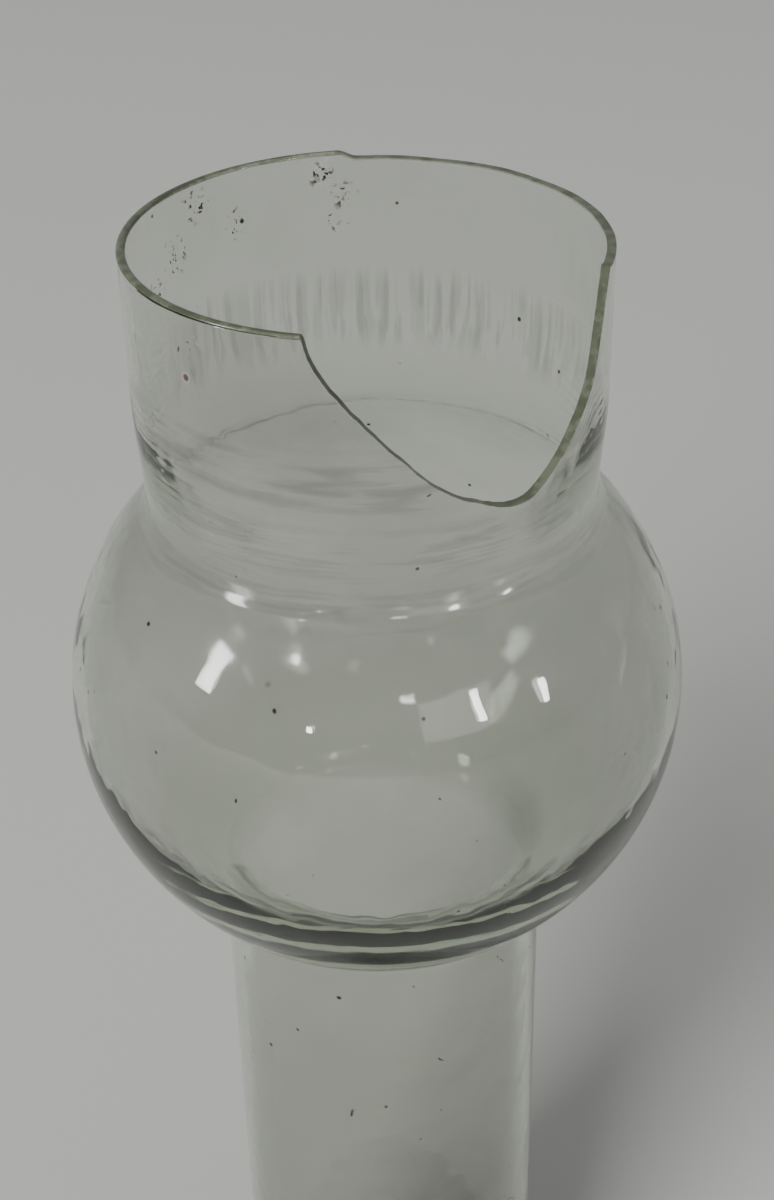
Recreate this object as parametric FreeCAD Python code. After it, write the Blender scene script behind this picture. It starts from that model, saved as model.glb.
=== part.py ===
import FreeCAD, Part
import math
import os

# A blown-glass oil-lamp chimney with a bulged body. It stands upside down on the cut end of
# its flue, so its fitter, the collar that a lamp burner holds, is uppermost. A piece is broken
# out of the fitter, and a long flake is off its rim.
#
# The real chimney is one piece of glass. It is written as five rings that meet face to face,
# stacked on the Z axis, so that each ring is a simple shape around the hollow.
#
# Millimetres, +Z up, origin at the centre of the flue's cut end. The broken side faces
# -Y and +X. An azimuth is in degrees around +Z, from 0 at -Y towards +X.

# Overall height, from the flue's cut end to the unbroken rim. The flue takes what the fitter
# and the bulge leave of it.
total_height = 254.0

# Fitter: a straight collar that narrows a little to the waist.
fitter_outer_r = 33.35
fitter_wall = 1.3
fitter_straight_length = 22.0
waist_outer_r = 32.5
waist_wall = 2.2
waist_blend_length = 14.75
waist_fillet_r = 6.0
hollow_waist_fillet_r = 8.2

# Bulge: a barrel-shaped body, its profile one arc whose centre lies a little off the axis.
# Below its middle the hollow has a tighter profile, so the wall thickens towards the flue.
bulge_outer_r = 46.3
bulge_profile_r = 43.4
bulge_wall = 1.6
hollow_floor_r = 34.0

# Flue: straight outside. Its wall is thick under the bulge and thins towards the cut end.
flue_outer_r = 25.75
flue_end_wall = 1.3
flue_top_wall = 3.3
flue_parallel_length = 60.0
shoulder_fillet_r = 6.0
hollow_shoulder_fillet_r = 9.3
shoulder_ring_height = 12.0

# The broken edge, as azimuth and depth below the unbroken rim. It starts and ends above the
# rim, so that the cut runs clear of the glass.
bite_points = [
    (-15.0, -0.8), (-13.0, 2.8), (-10.0, 6.0), (-2.0, 11.6), (6.0, 16.6), (14.5, 21.4),
    (26.0, 25.1), (37.0, 26.6), (46.5, 23.2), (56.0, 18.3), (62.0, 14.0), (66.0, 7.5),
    (70.0, 1.2), (71.5, -0.8),
]

# The flake: the rim is this much lower from the bite round to the back, where it steps up.
flake_depth = 1.1
flake_start = 69.0
flake_end = 182.0
flake_step_width = 5.0

# How far the cutting shapes run past the glass.
cut_margin = 3.0

bulge_centre_r = bulge_outer_r - bulge_profile_r
waist_height = total_height - fitter_straight_length - waist_blend_length


def point(radius, height):
    """A point in the profile plane."""
    return FreeCAD.Vector(radius, 0, height)


def around(radius, azimuth, height):
    """A point on a circle around the axis."""
    angle = math.radians(azimuth)
    return FreeCAD.Vector(radius * math.sin(angle), -radius * math.cos(angle), height)


def fillet_rise(wall_r, fillet_r, centre_r, profile_r):
    """Height between an arc's centre and the centre of its fillet with a straight wall."""
    return math.sqrt((profile_r + fillet_r) ** 2 - (wall_r + fillet_r - centre_r) ** 2)


def arc(centre_r, centre_height, radius, start, end):
    """An arc in the profile plane between two angles in radians."""
    middle = (start + end) / 2
    points = [
        point(centre_r + radius * math.cos(angle), centre_height + radius * math.sin(angle))
        for angle in (start, middle, end)
    ]
    return Part.Arc(*points).toShape()


bulge_height = waist_height - fillet_rise(
    waist_outer_r, waist_fillet_r, bulge_centre_r, bulge_profile_r)
shoulder_height = bulge_height - fillet_rise(
    flue_outer_r, shoulder_fillet_r, bulge_centre_r, bulge_profile_r)


def bulged_solid(rim_r, waist_r, waist_fillet, profile_r, floor_r, shoulder_fillet, flue_r):
    """The solid inside one skin of the glass, from the flue's end to the rim.

    Above the bulge's middle the profile's radius is profile_r. Below it, it is floor_r.
    """
    floor_centre_r = bulge_centre_r + profile_r - floor_r
    upper_rise = fillet_rise(waist_r, waist_fillet, bulge_centre_r, profile_r)
    lower_rise = fillet_rise(flue_r, shoulder_fillet, floor_centre_r, floor_r)
    upper_angle = math.asin(upper_rise / (profile_r + waist_fillet))
    lower_angle = math.asin(lower_rise / (floor_r + shoulder_fillet))
    waist = bulge_height + upper_rise
    shoulder = bulge_height - lower_rise
    blend_top = total_height - fitter_straight_length

    blend = Part.BezierCurve()
    blend.setPoles([
        point(waist_r, waist),
        point(waist_r, waist + (blend_top - waist) / 3),
        point(rim_r, blend_top - (blend_top - waist) / 3),
        point(rim_r, blend_top),
    ])
    edges = [
        Part.makeLine(point(0, 0), point(flue_r, 0)),
        Part.makeLine(point(flue_r, 0), point(flue_r, shoulder)),
        arc(flue_r + shoulder_fillet, shoulder, shoulder_fillet, math.pi, math.pi - lower_angle),
        arc(floor_centre_r, bulge_height, floor_r, -lower_angle, 0),
        arc(bulge_centre_r, bulge_height, profile_r, 0, upper_angle),
        arc(waist_r + waist_fillet, waist, waist_fillet, math.pi + upper_angle, math.pi),
        blend.toShape(),
        Part.makeLine(point(rim_r, blend_top), point(rim_r, total_height)),
        Part.makeLine(point(rim_r, total_height), point(0, total_height)),
        Part.makeLine(point(0, total_height), point(0, 0)),
    ]
    profile = Part.Face(Part.Wire(edges))
    return profile.revolve(point(0, 0), FreeCAD.Vector(0, 0, 1), 360)


def glass_wall():
    """The unbroken chimney: the outer skin less the hollow."""
    outside = bulged_solid(
        fitter_outer_r, waist_outer_r, waist_fillet_r, bulge_profile_r, bulge_profile_r,
        shoulder_fillet_r, flue_outer_r,
    )
    flue_top_inner_r = flue_outer_r - flue_top_wall
    flue_end_inner_r = flue_outer_r - flue_end_wall
    hollow = bulged_solid(
        fitter_outer_r - fitter_wall, waist_outer_r - waist_wall, hollow_waist_fillet_r,
        bulge_profile_r - bulge_wall, hollow_floor_r, hollow_shoulder_fillet_r,
        flue_top_inner_r,
    )
    taper = Part.makeCone(
        flue_end_inner_r, flue_top_inner_r, shoulder_height - flue_parallel_length,
        point(0, flue_parallel_length),
    )
    bore = Part.makeCylinder(flue_end_inner_r, flue_parallel_length)
    return outside.cut(hollow.fuse([taper, bore]).removeSplitter())


def edge_cutter(points):
    """The space above a line drawn round the fitter, given as azimuths and depths."""
    curves = []
    for radius in (fitter_outer_r - fitter_wall - cut_margin, fitter_outer_r + cut_margin):
        curve = Part.BSplineCurve()
        curve.interpolate([around(radius, az, total_height - depth) for az, depth in points])
        curves.append(curve.toShape())
    deepest = max(depth for _, depth in points)
    surface = Part.makeRuledSurface(*curves)
    return surface.extrude(FreeCAD.Vector(0, 0, deepest + cut_margin))


def broken_away():
    """The cutting shapes of the bite, the flake beside it and the flake's sloping end."""
    flake_middle = (flake_start + flake_end) / 2
    flake_azimuths = [
        flake_start, (flake_start + flake_middle) / 2, flake_middle,
        (flake_middle + flake_end) / 2, flake_end,
    ]
    flake_points = [(azimuth, flake_depth) for azimuth in flake_azimuths]
    step_points = [
        (flake_end - 1.0, flake_depth),
        (flake_end + flake_step_width / 2, flake_depth / 2),
        (flake_end + flake_step_width + 1.0, -flake_depth / 4),
    ]
    return [edge_cutter(points) for points in (bite_points, flake_points, step_points)]


def ring(glass, low, high):
    """The part of the glass between two heights."""
    reach = bulge_outer_r + fitter_outer_r + cut_margin
    slab = Part.makeBox(2 * reach, 2 * reach, high - low, FreeCAD.Vector(-reach, -reach, low))
    return glass.common(slab)


glass = glass_wall().cut(broken_away())
ring_heights = {
    "flue": (0, shoulder_height),
    "bulge_floor": (shoulder_height, shoulder_height + shoulder_ring_height),
    "bulge_lower": (shoulder_height + shoulder_ring_height, bulge_height),
    "bulge_upper": (bulge_height, waist_height),
    "fitter": (waist_height, total_height),
}

os.makedirs("parts", exist_ok=True)
for name, (low, high) in ring_heights.items():
    ring(glass, low, high).exportStep("parts/" + name + ".step")
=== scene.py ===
import bpy
import math
from mathutils import Matrix, Vector, noise


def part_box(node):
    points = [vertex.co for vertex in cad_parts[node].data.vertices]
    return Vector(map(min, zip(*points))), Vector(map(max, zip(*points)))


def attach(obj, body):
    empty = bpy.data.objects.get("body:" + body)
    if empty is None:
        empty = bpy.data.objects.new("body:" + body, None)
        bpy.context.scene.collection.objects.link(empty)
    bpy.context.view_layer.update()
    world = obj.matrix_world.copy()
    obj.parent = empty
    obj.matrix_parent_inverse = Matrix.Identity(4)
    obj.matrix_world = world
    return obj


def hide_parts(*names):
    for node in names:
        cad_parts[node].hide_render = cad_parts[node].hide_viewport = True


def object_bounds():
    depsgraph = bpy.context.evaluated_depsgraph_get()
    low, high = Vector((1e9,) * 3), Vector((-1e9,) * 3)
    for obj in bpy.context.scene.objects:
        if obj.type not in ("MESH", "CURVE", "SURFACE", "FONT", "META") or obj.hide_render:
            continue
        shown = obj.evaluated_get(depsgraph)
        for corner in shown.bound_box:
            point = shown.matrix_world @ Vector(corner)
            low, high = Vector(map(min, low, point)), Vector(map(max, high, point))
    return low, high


# A clear blown-glass lamp chimney, upside down on its flue, with a piece broken out of its
# fitter. The glass is one turned mesh: rows run up the outer skin, over the broken edge, down
# the inner skin and under the cut end of the flue. Lengths are metres; the tables BITE and
# RESIDUE are in degrees and millimetres.

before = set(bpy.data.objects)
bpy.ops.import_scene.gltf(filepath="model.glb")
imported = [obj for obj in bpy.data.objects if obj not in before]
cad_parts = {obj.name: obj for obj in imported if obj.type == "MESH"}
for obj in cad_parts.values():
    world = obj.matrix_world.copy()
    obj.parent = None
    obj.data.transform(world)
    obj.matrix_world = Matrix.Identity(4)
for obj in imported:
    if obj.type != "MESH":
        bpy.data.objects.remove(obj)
cad_low, cad_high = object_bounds()

MM = 0.001
TAU = 2 * math.pi

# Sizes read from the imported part.
rim_z = cad_high.z
flue_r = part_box("flue")[1].x
shoulder_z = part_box("flue")[1].z
bulge_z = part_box("bulge_upper")[0].z
bulge_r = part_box("bulge_upper")[1].x
fitter_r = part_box("fitter")[1].x

# Shape of the glass that a box can't give.
fitter_wall = 1.3 * MM
fitter_straight = 22.0 * MM
waist_r = 32.5 * MM
waist_wall = 2.2 * MM
waist_fillet = 6.0 * MM
hollow_waist_fillet = 8.2 * MM
bulge_profile_r = 43.4 * MM
bulge_wall = 1.6 * MM
bulge_floor_r = 34.0 * MM     # profile radius of the hollow below the bulge's middle
shoulder_fillet = 6.0 * MM
hollow_fillet = 9.3 * MM
flue_top_wall = 3.3 * MM
flue_end_wall = 1.3 * MM
flue_parallel = 60.0 * MM

# Waves of the two skins.
skin_gap = 0.03 * MM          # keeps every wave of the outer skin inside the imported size
outer_sag = 0.10 * MM         # long waves of the outer skin
inner_sag = 0.12 * MM         # long and short waves of the inner skin
inner_shiver = 0.02 * MM
ripple_height = 0.05 * MM     # of the blowing ripples round the waist
ripple_pitch = 1.45 * MM
ripple_wander = 0.6 * MM      # how far a ripple strays up or down
comb_height = 0.07 * MM       # of the draw lines down the inside of the fitter
comb_foot = 30.5 * MM         # how far below the rim they end
comb_top = 19.5 * MM          # and start
comb_soft = 2.5 * MM          # how softly they do so

# The top edge.
flake_depth = 1.1 * MM
flake_jag = 0.12 * MM         # unevenness of the flaked rim
coarse_jag = 0.22 * MM        # and of the bite, coarse and fine
fine_jag = 0.10 * MM
shell_depth = 0.10 * MM       # of the hollows across the broken face
WHOLE_CROWN = 0.75            # rounding of the edge, as a share of half the wall
BROKEN_CROWN = 0.16
BROKEN_POWER = 0.30           # below 1 makes the rounding squarer

# The broken edge, as azimuth in degrees and depth below the rim in millimetres. An azimuth
# runs round +Z from 0 at -Y towards +X.
BITE = [
    (-14.2, 0.0), (-13.0, 2.8), (-10.0, 6.0), (-2.0, 11.6), (6.0, 16.6), (14.5, 21.4),
    (26.0, 25.1), (37.0, 26.6), (46.5, 23.2), (56.0, 18.3), (62.0, 14.0), (66.0, 7.5),
    (70.0, 1.3),
]
BREAK_STARTS = (-14.6, -13.6)
FLAKE_END = 182.0
FLAKE_STEP = 5.0

# Columns of the mesh, in degrees: the first, and the steps between them.
SEAM = -16.0
FINE_UNTIL = -10.0
FINE_AGAIN = (60.0, 72.0)
FINE_STEP = 0.5
FLAKE_END_STEP = 1.0
PLAIN_STEP = 1.5

# Rows of the mesh.
SKIN_COUNTS = (12, 8, 24, 20, 12)   # of the flue, shoulder, lower bulge, upper bulge and waist
COLLAR_ROWS = 105
HOLLOW_COLLAR_ROWS = 60
EDGE_ROWS = 12
END_ROWS = 6

bulge_centre_r = bulge_r - bulge_profile_r


def smooth(low, high, value):
    """0 below low, 1 above high, with a soft ramp between."""
    t = min(max((value - low) / (high - low), 0.0), 1.0)
    return t * t * (3 - 2 * t)


def mix(a, b, t):
    return a + (b - a) * t


def fillet_rise(wall_r, fillet, centre_r, profile_r):
    """Height between an arc's centre and the centre of its fillet with a straight wall."""
    return math.sqrt((profile_r + fillet) ** 2 - (wall_r + fillet - centre_r) ** 2)


# ---------------------------------------------------------------- outline of the broken edge

def bite_depth(azimuth):
    """Depth of the bite at an azimuth, by a smooth curve through the chosen points."""
    last = len(BITE) - 1
    for k in range(last):
        if BITE[k][0] <= azimuth <= BITE[k + 1][0]:
            break
    else:
        return 0.0
    (x0, y0), (x1, y1) = BITE[k], BITE[k + 1]
    before, after = BITE[max(k - 1, 0)], BITE[min(k + 2, last)]
    slope0 = (y1 - before[1]) / (x1 - before[0])
    slope1 = (after[1] - y0) / (after[0] - x0)
    t = (azimuth - x0) / (x1 - x0)
    width = x1 - x0
    return (
        (2 * t ** 3 - 3 * t ** 2 + 1) * y0 + (t ** 3 - 2 * t ** 2 + t) * width * slope0
        + (3 * t ** 2 - 2 * t ** 3) * y1 + (t ** 3 - t ** 2) * width * slope1
    ) * MM


def broken_share(azimuth):
    """1 where the edge is a fresh break, 0 where the rim is whole and fire-polished."""
    begun = smooth(*BREAK_STARTS, azimuth)
    ended = smooth(FLAKE_END + 1, FLAKE_END + FLAKE_STEP + 1, azimuth)
    return begun * (1 - ended)


def edge_height(azimuth):
    """Height of the fitter's top edge."""
    if BITE[0][0] <= azimuth <= BITE[-1][0]:
        depth = bite_depth(azimuth)
        jag = coarse_jag * noise.noise(Vector((azimuth * 0.55, 3.1, 0)))
        jag += fine_jag * noise.noise(Vector((azimuth * 1.9, 7.7, 0)))
        return rim_z - depth + jag * smooth(BITE[0][0], BITE[0][0] + 2, azimuth)
    lowered = smooth(BITE[-1][0] - 1, BITE[-1][0] + 1.5, azimuth)
    lowered *= 1 - smooth(FLAKE_END, FLAKE_END + FLAKE_STEP, azimuth)
    ragged = flake_jag * noise.noise(Vector((azimuth * 0.11, 9.3, 0)))
    return rim_z - lowered * (flake_depth + ragged)


# ------------------------------------------------------------------------- the glass profile

def arc_rows(centre_r, centre_z, radius, start, end, count):
    """Points along an arc of the profile, without its last one."""
    rows = []
    for k in range(count):
        angle = mix(start, end, k / count)
        rows.append((centre_r + radius * math.cos(angle), centre_z + radius * math.sin(angle)))
    return rows


def skin_rows(waist, waist_fil, profile_r, floor_r, shoulder_fil, flue_top, flue_end, counts):
    """(radius, height) up one skin from the flue's end to the waist."""
    flue_count, shoulder_count, floor_count, dome_count, waist_count = counts
    floor_centre_r = bulge_centre_r + profile_r - floor_r
    up = fillet_rise(waist, waist_fil, bulge_centre_r, profile_r)
    down = fillet_rise(flue_top, shoulder_fil, floor_centre_r, floor_r)
    up_angle = math.asin(up / (profile_r + waist_fil))
    down_angle = math.asin(down / (floor_r + shoulder_fil))
    shoulder = bulge_z - down
    rows = []
    for k in range(flue_count):
        z = shoulder * k / flue_count
        taper = min(max((z - flue_parallel) / (shoulder - flue_parallel), 0.0), 1.0)
        rows.append((mix(flue_end, flue_top, taper), z))
    rows += arc_rows(flue_top + shoulder_fil, shoulder, shoulder_fil,
                     math.pi, math.pi - down_angle, shoulder_count)
    rows += arc_rows(floor_centre_r, bulge_z, floor_r, -down_angle, 0, floor_count)
    rows += arc_rows(bulge_centre_r, bulge_z, profile_r, 0, up_angle, dome_count)
    rows += arc_rows(waist + waist_fil, bulge_z + up, waist_fil,
                     math.pi + up_angle, math.pi, waist_count)
    rows.append((waist, bulge_z + up))
    return rows


def collar_radius(waist, rim, low_z, z):
    """Radius of a skin of the fitter at a height above the waist."""
    return mix(waist, rim, smooth(low_z, rim_z - fitter_straight, z))


def band(z, low, high, soft):
    """1 inside a band of heights, with soft sides."""
    return smooth(low - soft, low + soft, z) * (1 - smooth(high - soft, high + soft, z))


RIPPLE_BANDS = [
    # depth below the rim of the band's foot and top, its softness, its strength
    (24.5 * MM, 16.5 * MM, 2.0 * MM, 1.0),
    (34.5 * MM, 27.5 * MM, 1.6 * MM, 0.9),
    (41.5 * MM, 36.5 * MM, 1.8 * MM, 0.8),
]


def outer_wave(azimuth, z):
    """How far the outer skin stands out from its true radius, which is never above it."""
    a = math.radians(azimuth)
    x, y = math.cos(a), math.sin(a)
    long_wave = outer_sag * (0.5 + 0.5 * noise.noise(Vector((x * 1.3, y * 1.3, z * 22))))
    wander = ripple_wander * noise.noise(Vector((x * 2.1, y * 2.1, z * 40)))
    crest = 0.5 + 0.5 * math.sin(TAU * (z + wander) / ripple_pitch)
    patch = smooth(-0.35, 0.45, noise.noise(Vector((x * 3.0 + 5, y * 3.0, z * 75))))
    worked = sum(share * band(z, rim_z - low, rim_z - high, soft)
                 for low, high, soft, share in RIPPLE_BANDS)
    return -(skin_gap + long_wave + ripple_height * worked * patch * crest)


def inner_wave(azimuth, z):
    """How far the inner skin stands out from its true radius: waves and draw lines."""
    a = math.radians(azimuth)
    x, y = math.cos(a), math.sin(a)
    long_wave = inner_sag * noise.noise(Vector((x * 1.6 + 9, y * 1.6, z * 25)))
    short_wave = inner_shiver * noise.noise(Vector((x * 5 + 3, y * 5, z * 130)))
    draw = noise.noise(Vector((x * 13, y * 13, z * 12)))
    combed = band(z, rim_z - comb_foot, rim_z - comb_top, comb_soft)
    return long_wave + short_wave + comb_height * combed * draw


def column_step(azimuth):
    """Degrees to the next column, least where the edge is steepest."""
    if azimuth < FINE_UNTIL or FINE_AGAIN[0] <= azimuth < FINE_AGAIN[1]:
        return FINE_STEP
    if FLAKE_END - 2 <= azimuth < FLAKE_END + FLAKE_STEP + 2:
        return FLAKE_END_STEP
    return PLAIN_STEP


def column_azimuths():
    """Azimuths of the mesh's columns, once round from the seam."""
    azimuths = []
    azimuth = SEAM
    while azimuth < SEAM + 360.0 - 1e-6:
        azimuths.append(azimuth)
        azimuth += column_step(azimuth)
    return azimuths


def skin_line(rows, azimuth, top, waist, rim, collar_rows, wave):
    """(radius, height) up one skin at an azimuth, from the flue's end to the top edge."""
    line = [(r + wave(azimuth, z), z) for r, z in rows]
    low_z = rows[-1][1]
    for k in range(1, collar_rows + 1):
        z = mix(low_z, top, k / collar_rows)
        line.append((collar_radius(waist, rim, low_z, z) + wave(azimuth, z), z))
    return line


def edge_line(azimuth, top, out_r, in_r):
    """(radius, height) over the top edge, rounded where it is whole and squarer where broken."""
    broken = broken_share(azimuth)
    half = (out_r - in_r) / 2
    crown = mix(half * WHOLE_CROWN, half * BROKEN_CROWN, broken)
    power = mix(1.0, BROKEN_POWER, broken)
    line = []
    for k in range(EDGE_ROWS + 1):
        angle = math.pi * k / EDGE_ROWS
        side = math.copysign(abs(math.cos(angle)) ** power, math.cos(angle))
        lift = crown * (math.sin(angle) ** power - 1)
        shell = shell_depth * broken * noise.noise(Vector((azimuth * 0.35, k * 0.35, 1.7)))
        line.append(((out_r + in_r) / 2 + half * side, top + lift - abs(shell) * math.sin(angle)))
    return line


def glass_columns():
    """A closed loop of points for each azimuth, and the row where the top edge begins."""
    outer_rows = skin_rows(waist_r, waist_fillet, bulge_profile_r, bulge_profile_r,
                           shoulder_fillet, flue_r, flue_r, SKIN_COUNTS)
    inner_rows = skin_rows(waist_r - waist_wall, hollow_waist_fillet,
                           bulge_profile_r - bulge_wall, bulge_floor_r, hollow_fillet,
                           flue_r - flue_top_wall, flue_r - flue_end_wall, SKIN_COUNTS)
    columns = []
    for azimuth in column_azimuths():
        top = edge_height(azimuth)
        outer = skin_line(outer_rows, azimuth, top, waist_r, fitter_r, COLLAR_ROWS, outer_wave)
        inner = skin_line(inner_rows, azimuth, top, waist_r - waist_wall,
                          fitter_r - fitter_wall, HOLLOW_COLLAR_ROWS, inner_wave)
        edge = edge_line(azimuth, top, outer[-1][0], inner[-1][0])
        end = [(mix(inner[0][0], outer[0][0], k / END_ROWS), 0.0) for k in range(1, END_ROWS)]
        a = math.radians(azimuth)
        columns.append([Vector((r * math.sin(a), -r * math.cos(a), z))
                        for r, z in outer[:-1] + edge + inner[-2::-1] + end])
    return columns, len(outer_rows) + COLLAR_ROWS - 1


def make_glass():
    """The turned mesh, with an attribute that is 1 on the rim and the fracture."""
    columns, first_edge_row = glass_columns()
    rows = len(columns[0])
    count = len(columns)
    points = [p for column in columns for p in column]
    faces = []
    for c in range(count):
        d = (c + 1) % count
        for k in range(rows):
            m = (k + 1) % rows
            faces.append((c * rows + k, d * rows + k, d * rows + m, c * rows + m))
    mesh = bpy.data.meshes.new("chimney_glass")
    mesh.from_pydata(points, [], faces)
    mesh.shade_smooth()
    edge = mesh.attributes.new("edge", "FLOAT", "POINT")
    edge.data.foreach_set("value", [1.0 if first_edge_row <= k <= first_edge_row + EDGE_ROWS
                                    else 0.0 for _ in columns for k in range(rows)])
    glass = bpy.data.objects.new("chimney_glass", mesh)
    bpy.context.collection.objects.link(glass)
    return glass


# --------------------------------------------------------------------------------- materials

def new_material(name):
    material = bpy.data.materials.new(name)
    material.use_nodes = True
    nodes = material.node_tree.nodes
    return material, nodes, material.node_tree.links, nodes["Principled BSDF"]


def feed(links, value, socket):
    """Set a socket to a number or link it to another socket."""
    if isinstance(value, bpy.types.NodeSocket):
        links.new(value, socket)
    else:
        socket.default_value = value


def maths(nodes, links, operation, first, second):
    node = nodes.new("ShaderNodeMath")
    node.operation = operation
    feed(links, first, node.inputs[0])
    feed(links, second, node.inputs[1])
    return node.outputs[0]


def rise(nodes, links, value, low, high):
    """0 to 1 as a value goes from low to high; low may be the larger."""
    node = nodes.new("ShaderNodeMapRange")
    node.interpolation_type = "SMOOTHSTEP"
    node.inputs["From Min"].default_value = min(low, high)
    node.inputs["From Max"].default_value = max(low, high)
    node.inputs["To Min"].default_value = 0.0 if low < high else 1.0
    node.inputs["To Max"].default_value = 1.0 if low < high else 0.0
    links.new(value, node.inputs["Value"])
    return node.outputs["Result"]


def colour_mix(nodes, links, share, first, second):
    node = nodes.new("ShaderNodeMix")
    node.data_type = "RGBA"
    feed(links, share, node.inputs[0])
    feed(links, first, node.inputs[6])
    feed(links, second, node.inputs[7])
    return node.outputs[2]


def noise_value(nodes, links, place, scale, detail):
    node = nodes.new("ShaderNodeTexNoise")
    node.inputs["Scale"].default_value = scale
    node.inputs["Detail"].default_value = detail
    links.new(place, node.inputs["Vector"])
    return node.outputs[0]


# Dried residue on the fitter: azimuth, depth below the rim and reach in millimetres, and the
# share of the patch left clean.
RESIDUE = [
    (-168.6, 3.6, 2.6, 0.57), (-174.5, 7.0, 2.6, 0.56), (-172.5, 10.8, 2.2, 0.58),
    (-131.0, 3.9, 3.4, 0.61), (-122.0, 9.7, 3.6, 0.62), (-143.0, 8.5, 3.0, 0.63),
    (-112.0, 13.5, 3.0, 0.63), (-43.7, 9.0, 0.9, 0.20), (-41.5, 4.5, 2.4, 0.63),
]


def residue_mask(nodes, links, place):
    """1 on the residue's grains."""
    grains = noise_value(nodes, links, place, 1100.0, 2.0)
    total = 0.0
    for azimuth, depth, reach, clean in RESIDUE:
        a = math.radians(azimuth)
        gap = nodes.new("ShaderNodeVectorMath")
        gap.operation = "DISTANCE"
        links.new(place, gap.inputs[0])
        gap.inputs[1].default_value = (fitter_r * math.sin(a), -fitter_r * math.cos(a),
                                       rim_z - depth * MM)
        near = rise(nodes, links, gap.outputs["Value"], reach * MM, reach * MM * 0.4)
        grain = rise(nodes, links, grains, clean, clean + 0.05)
        total = maths(nodes, links, "MAXIMUM", total, maths(nodes, links, "MULTIPLY", near, grain))
    return total


def speck_mask(nodes, links, place):
    """1 on a few scattered dust specks."""
    cells = nodes.new("ShaderNodeTexVoronoi")
    cells.inputs["Scale"].default_value = 170.0
    links.new(place, cells.inputs["Vector"])
    pick = nodes.new("ShaderNodeSeparateColor")
    links.new(cells.outputs["Color"], pick.inputs[0])
    close = rise(nodes, links, cells.outputs["Distance"], 0.075, 0.045)
    chosen = rise(nodes, links, pick.outputs[0], 0.70, 0.72)
    return maths(nodes, links, "MULTIPLY", close, chosen)


def stretched_lines(nodes, links, place, stretch, low, high):
    """Fine wandering lines: noise on coordinates that are stretched differently each way."""
    scaled = nodes.new("ShaderNodeVectorMath")
    scaled.operation = "MULTIPLY"
    links.new(place, scaled.inputs[0])
    scaled.inputs[1].default_value = stretch
    return rise(nodes, links, noise_value(nodes, links, scaled.outputs[0], 1.0, 2.0), low, high)


def height_band(nodes, links, height, low, high, soft):
    """1 between two heights below the rim, with soft sides."""
    above = rise(nodes, links, height, rim_z - low - soft, rim_z - low + soft)
    below = rise(nodes, links, height, rim_z - high + soft, rim_z - high - soft)
    return maths(nodes, links, "MULTIPLY", above, below)


def ripple_shade_mask(nodes, links, place, height, back):
    """1 on the painted-shade lines over the blowing ripples, painted on the front half only."""
    rings = 0.0
    for low, high, soft, share in RIPPLE_BANDS:
        band_here = height_band(nodes, links, height, low, high, soft)
        rings = maths(nodes, links, "MAXIMUM", rings,
                      maths(nodes, links, "MULTIPLY", band_here, share))
    lines = stretched_lines(nodes, links, place, (75.0, 75.0, 760.0), 0.49, 0.60)
    rings = maths(nodes, links, "MULTIPLY", rings, lines)
    rings = maths(nodes, links, "MULTIPLY", rings, rise(nodes, links, back, 8 * MM, -8 * MM))
    return maths(nodes, links, "MULTIPLY", rings, 0.85)


def comb_shade_mask(nodes, links, place, height, back):
    """1 on the painted-shade lines over the draw lines, painted on the back half only."""
    comb = stretched_lines(nodes, links, place, (640.0, 640.0, 30.0), 0.48, 0.58)
    comb = maths(nodes, links, "MULTIPLY", comb,
                 height_band(nodes, links, height, comb_foot, comb_top, comb_soft))
    comb = maths(nodes, links, "MULTIPLY", comb, rise(nodes, links, back, 0.0, 20 * MM))
    return maths(nodes, links, "MULTIPLY", comb, 0.75)


def heel_mask(nodes, links, height):
    """1 on the thick heel of the bulge, just above the flue."""
    low = rise(nodes, links, height, shoulder_z, shoulder_z + 3 * MM)
    high = rise(nodes, links, height, shoulder_z + 20 * MM, shoulder_z + 12 * MM)
    return maths(nodes, links, "MULTIPLY", low, high)


# Tints of the glass, some of them painted shade, and colours of the fracture and the residue.
CLEAR = (0.87, 0.88, 0.848, 1)
SMUDGED = (0.775, 0.788, 0.75, 1)
DUSTY = (0.62, 0.63, 0.60, 1)
# painted shadow: the flue is darker, standing for the chimney's own shadow seen through it
FLUE_PAINTED_SHADOW = (0.75, 0.76, 0.725, 1)
# painted shade: the band round the waist is darker, where the wall is also thicker
WAIST_PAINTED_SHADE = (0.74, 0.755, 0.715, 1)
# painted shade: dark lines along the blowing ripples and draw lines, standing for the light they
# bend
LINE_PAINTED_SHADE = (0.56, 0.57, 0.54, 1)
# painted shade: the thick heel is darker, standing for the dark floor and shadow seen through it
HEEL_PAINTED_SHADE = (0.77, 0.79, 0.72, 1)
FRACTURE_DARK = (0.12, 0.14, 0.09, 1)
FRACTURE_LIGHT = (0.21, 0.24, 0.17, 1)
STAIN_BLACK = (0.03, 0.025, 0.02, 1)
STAIN_BROWN = (0.13, 0.07, 0.045, 1)
ABSORPTION = (0.50, 0.64, 0.38, 1)

# Shares of the dust and of the waist's painted shade, and what each mask adds to the roughness.
DUST_SHARE = 0.16
WAIST_SHADE_SHARE = 0.55
SMUDGE_HAZE = 0.02
WAIST_HAZE = 0.10
HEEL_HAZE = 0.10
EDGE_HAZE = 0.20
EDGE_SOLID = 0.50             # how much of the light the fracture stops


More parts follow.
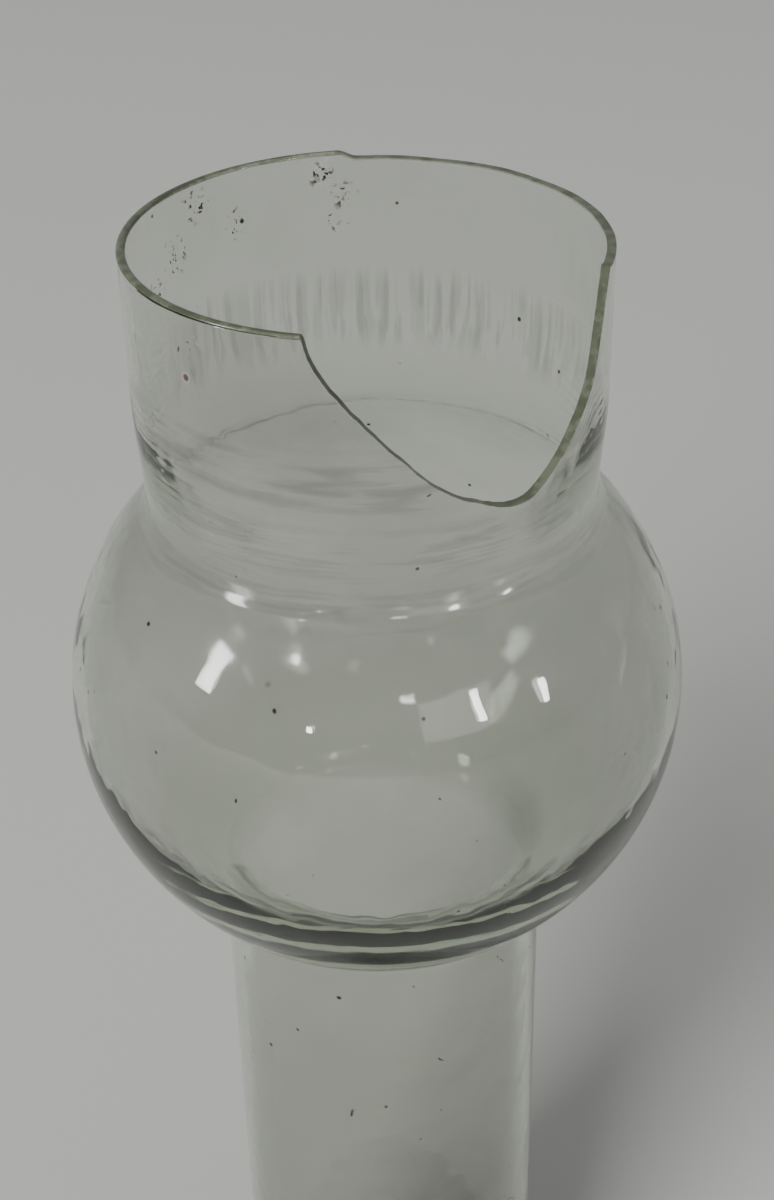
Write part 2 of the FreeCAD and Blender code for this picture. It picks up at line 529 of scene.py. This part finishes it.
def glass_tint_and_shade(nodes, links, place, height, smudge, lines, waist, heel):
    """Colour of the glass away from its top edge, with painted shade and shadow."""
    tint_and_shade = colour_mix(nodes, links, smudge, CLEAR, SMUDGED)
    dust = noise_value(nodes, links, place, 900.0, 3.0)
    dust = maths(nodes, links, "MULTIPLY", dust, DUST_SHARE)
    tint_and_shade = colour_mix(nodes, links, dust, tint_and_shade, DUSTY)
    # painted shadow darkens the flue below the shoulder
    flue = rise(nodes, links, height, shoulder_z, shoulder_z - 30 * MM)
    tint_and_shade = colour_mix(nodes, links, flue, tint_and_shade, FLUE_PAINTED_SHADOW)
    # painted shade round the waist
    shade = maths(nodes, links, "MULTIPLY", waist, WAIST_SHADE_SHARE)
    tint_and_shade = colour_mix(nodes, links, shade, tint_and_shade, WAIST_PAINTED_SHADE)
    # painted shade along the ripples and draw lines
    tint_and_shade = colour_mix(nodes, links, lines, tint_and_shade, LINE_PAINTED_SHADE)
    # painted shade on the heel
    return colour_mix(nodes, links, heel, tint_and_shade, HEEL_PAINTED_SHADE)


def glass_haze(nodes, links, smudge, waist, heel, edge):
    """Roughness of the glass: next to none where it is clear."""
    haze = maths(nodes, links, "MULTIPLY", smudge, SMUDGE_HAZE)
    for mask, amount in ((waist, WAIST_HAZE), (heel, HEEL_HAZE), (edge, EDGE_HAZE)):
        haze = maths(nodes, links, "ADD", haze, maths(nodes, links, "MULTIPLY", mask, amount))
    return haze


def glass_material():
    material, nodes, links, shader = new_material("soda_lime_glass")
    shader.inputs["IOR"].default_value = 1.52
    place = nodes.new("ShaderNodeTexCoord").outputs["Object"]
    split = nodes.new("ShaderNodeSeparateXYZ")
    links.new(place, split.inputs[0])
    back, height = split.outputs["Y"], split.outputs["Z"]
    attribute = nodes.new("ShaderNodeAttribute")
    attribute.attribute_name = "edge"
    edge = attribute.outputs["Fac"]

    heel = heel_mask(nodes, links, height)
    waist = height_band(nodes, links, height, 48 * MM, 33 * MM, 5 * MM)
    smudge = rise(nodes, links, noise_value(nodes, links, place, 28.0, 3.0), 0.42, 0.70)
    # masks of the painted-shade lines over the ripples and the draw lines
    lines = maths(nodes, links, "MAXIMUM", ripple_shade_mask(nodes, links, place, height, back),
                  comb_shade_mask(nodes, links, place, height, back))
    dirt = maths(nodes, links, "MAXIMUM", residue_mask(nodes, links, place),
                 speck_mask(nodes, links, place))
    grain = noise_value(nodes, links, place, 420.0, 4.0)

    tint_and_shade = glass_tint_and_shade(nodes, links, place, height, smudge, lines, waist, heel)
    fracture = colour_mix(nodes, links, rise(nodes, links, grain, 0.40, 0.62),
                          FRACTURE_DARK, FRACTURE_LIGHT)
    body = colour_mix(nodes, links, edge, tint_and_shade, fracture)
    stain = colour_mix(nodes, links, grain, STAIN_BLACK, STAIN_BROWN)
    links.new(colour_mix(nodes, links, dirt, body, stain), shader.inputs["Base Color"])

    solid = maths(nodes, links, "MULTIPLY", edge, EDGE_SOLID)
    solid = maths(nodes, links, "MAXIMUM", solid, dirt)
    links.new(maths(nodes, links, "SUBTRACT", 1.0, solid), shader.inputs["Transmission Weight"])
    links.new(glass_haze(nodes, links, smudge, waist, heel, edge), shader.inputs["Roughness"])

    bump = nodes.new("ShaderNodeBump")
    bump.inputs["Strength"].default_value = 1.0
    bump.inputs["Distance"].default_value = 0.15 * MM
    links.new(noise_value(nodes, links, place, 95.0, 2.0), bump.inputs["Height"])
    links.new(bump.outputs["Normal"], shader.inputs["Normal"])

    absorb = nodes.new("ShaderNodeVolumeAbsorption")
    absorb.inputs["Color"].default_value = ABSORPTION
    absorb.inputs["Density"].default_value = 20.0
    links.new(absorb.outputs["Volume"], nodes["Material Output"].inputs["Volume"])
    return material


# ------------------------------------------------------------------------------------- stage

FLOOR_GREY = (0.50, 0.513, 0.488, 1)
FLOOR_REACH = 6.0


def floor_material():
    material, _, _, shader = new_material("pale_floor")
    shader.inputs["Base Color"].default_value = FLOOR_GREY
    shader.inputs["Roughness"].default_value = 0.9
    return material


def make_floor():
    corners = [(x * FLOOR_REACH, y * FLOOR_REACH, 0)
               for x, y in ((-1, -1), (1, -1), (1, 1), (-1, 1))]
    mesh = bpy.data.meshes.new("floor")
    mesh.from_pydata(corners, [], [(0, 1, 2, 3)])
    floor = bpy.data.objects.new("floor", mesh)
    bpy.context.collection.objects.link(floor)
    mesh.materials.append(floor_material())


def area_light(name, place, target, size, watts, colour=(1, 1, 1)):
    data = bpy.data.lights.new(name, "AREA")
    data.shape = "RECTANGLE"
    data.size, data.size_y = size
    data.energy = watts
    data.color = colour
    lamp = bpy.data.objects.new(name, data)
    lamp.location = place
    lamp.rotation_mode = "QUATERNION"
    lamp.rotation_quaternion = (Vector(target) - Vector(place)).to_track_quat("-Z", "Y")
    bpy.context.collection.objects.link(lamp)
    return lamp


# Lamps seen only as glints on the glass: name, place, size, watts.
GLINTS = [
    ("window_left", (-1.05, -0.45, 0.62), (0.15, 0.36), 4.8),
    ("glint_a", (-0.62, -0.80, 0.97), (0.045, 0.045), 0.45),
    ("glint_b", (-0.50, -1.10, 0.52), (0.045, 0.045), 0.45),
    ("glint_c", (0.22, -1.12, 0.80), (0.11, 0.07), 0.35),
    ("window_right", (0.72, -0.98, 0.60), (0.07, 0.27), 2.6),
    ("glint_d", (1.05, -0.55, 0.44), (0.05, 0.17), 1.3),
    ("soft_window", (0.70, -1.25, 0.66), (0.70, 0.42), 1.1),
]


# The soft main lamp, and the point that every lamp faces.
KEY_PLACE = (-2.2, -3.7, 3.4)
KEY_SIZE = (2.2, 2.2)
KEY_WATTS = 360
KEY_COLOUR = (1.0, 0.995, 0.975)
LAMP_TARGET = (0, 0, 0.18)

# The sky's greys, at the horizon, high up and straight overhead.
HORIZON_GREY = (0.44, 0.44, 0.43, 1)
HIGH_PLACE = 0.75
HIGH_GREY = (0.30, 0.30, 0.295, 1)
OVERHEAD_WHITE = (1.0, 1.0, 1.0, 1)
SKY_STRENGTH = 0.8


def make_sky():
    world = bpy.data.worlds.new("studio")
    bpy.context.scene.world = world
    world.use_nodes = True
    nodes, links = world.node_tree.nodes, world.node_tree.links
    coord = nodes.new("ShaderNodeTexCoord")
    split = nodes.new("ShaderNodeSeparateXYZ")
    ramp = nodes.new("ShaderNodeValToRGB")
    stops = ramp.color_ramp.elements
    stops[0].color = HORIZON_GREY
    stops[1].color = OVERHEAD_WHITE
    stops.new(HIGH_PLACE).color = HIGH_GREY
    links.new(coord.outputs["Generated"], split.inputs[0])
    links.new(split.outputs["Z"], ramp.inputs["Fac"])
    links.new(ramp.outputs["Color"], nodes["Background"].inputs["Color"])
    nodes["Background"].inputs["Strength"].default_value = SKY_STRENGTH


def make_lights():
    make_sky()
    key = area_light("key", KEY_PLACE, LAMP_TARGET, KEY_SIZE, KEY_WATTS, KEY_COLOUR)
    key.visible_glossy = False
    key.visible_transmission = False
    for name, place, size, watts in GLINTS:
        lamp = area_light(name, place, LAMP_TARGET, size, watts)
        lamp.visible_diffuse = False
    rays = bpy.context.scene.cycles
    rays.caustics_reflective = False
    rays.caustics_refractive = False
    rays.max_bounces = 24
    rays.transmission_bounces = 24
    rays.glossy_bounces = 12


# The camera stands before the glass and above its rim, and looks down into it.
CAMERA_BEFORE = 0.2396
CAMERA_ABOVE = 0.0954
CAMERA_TURNS = (0.415, 32.668, -1.228)   # yaw, pitch down and roll, in degrees
CAMERA_LENS = 57.0


def make_camera():
    data = bpy.data.cameras.new("camera")
    data.sensor_width = 36.0
    data.lens = CAMERA_LENS
    data.clip_start = 0.01
    camera = bpy.data.objects.new("camera", data)
    yaw, pitch, roll = (math.radians(v) for v in CAMERA_TURNS)
    forward = Vector((math.sin(yaw) * math.cos(pitch), math.cos(yaw) * math.cos(pitch),
                      -math.sin(pitch)))
    right = Vector((math.cos(yaw), -math.sin(yaw), 0))
    up = right.cross(forward)
    tilted_right = math.cos(roll) * right + math.sin(roll) * up
    tilted_up = math.cos(roll) * up - math.sin(roll) * right
    turn = Matrix((tilted_right, tilted_up, -forward)).transposed()
    place = Matrix.Translation((0, -CAMERA_BEFORE, rim_z + CAMERA_ABOVE))
    camera.matrix_world = place @ turn.to_4x4()
    bpy.context.collection.objects.link(camera)
    bpy.context.scene.camera = camera


make_camera()
glass = make_glass()
glass.data.materials.append(glass_material())
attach(glass, "root")
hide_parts("flue", "bulge_floor", "bulge_lower", "bulge_upper", "fitter")
make_floor()
make_lights()
